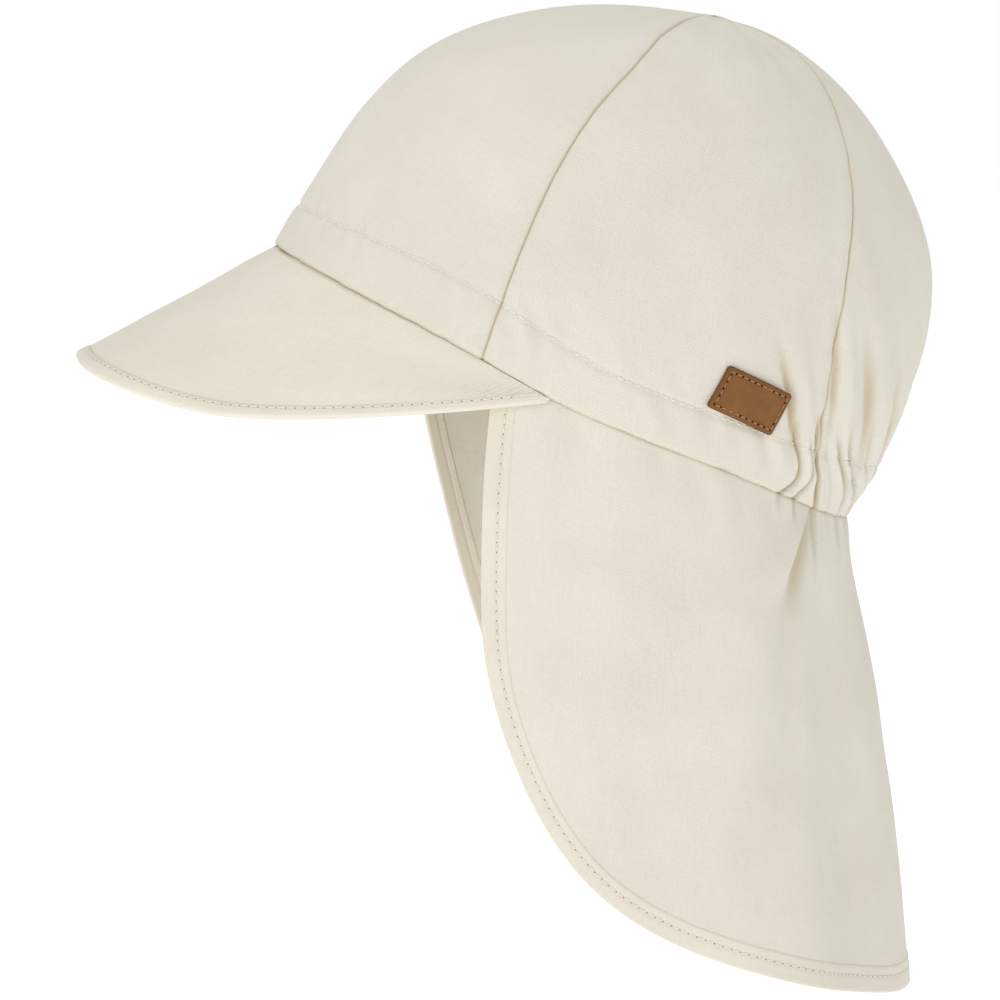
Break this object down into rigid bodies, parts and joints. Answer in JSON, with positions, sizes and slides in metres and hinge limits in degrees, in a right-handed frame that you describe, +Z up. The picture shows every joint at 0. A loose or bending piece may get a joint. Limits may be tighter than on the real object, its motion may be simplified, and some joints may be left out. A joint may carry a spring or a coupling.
{
  "type": "legionnaire cap",
  "caption": "Child's cotton sun cap with a rounded crown, a stiffened peak, an elasticated back and a long neck flap, shown as worn.",
  "frame": {"origin": "middle of the head opening, in the plane of the crown's hem, where the cap sits on the head", "axes": "+Z up, the wearer faces -X, the wearer's left is -Y; the crown is tilted back 26 degrees, as worn"},
  "size_m": [0.228, 0.1579, 0.2694],
  "materials": {
    "cream_cloth": "fine plain-weave cotton, cream, matt",
    "band_cloth": "fine plain-weave cotton, cream, matt",
    "binding_cloth": "folded cotton with a row of stitches",
    "leather": "tan leather, blank, stitched round"
  },
  "bodies": {
    "root": {"crown_front": "cream_cloth", "crown_side_left": "cream_cloth", "crown_side_right": "cream_cloth", "crown_back": "cream_cloth", "inner_band": "band_cloth", "peak": "cream_cloth", "peak_binding": "binding_cloth", "neck_flap": "cream_cloth", "flap_binding": "binding_cloth", "leather_tag": "leather"}
  },
  "joints": []
}
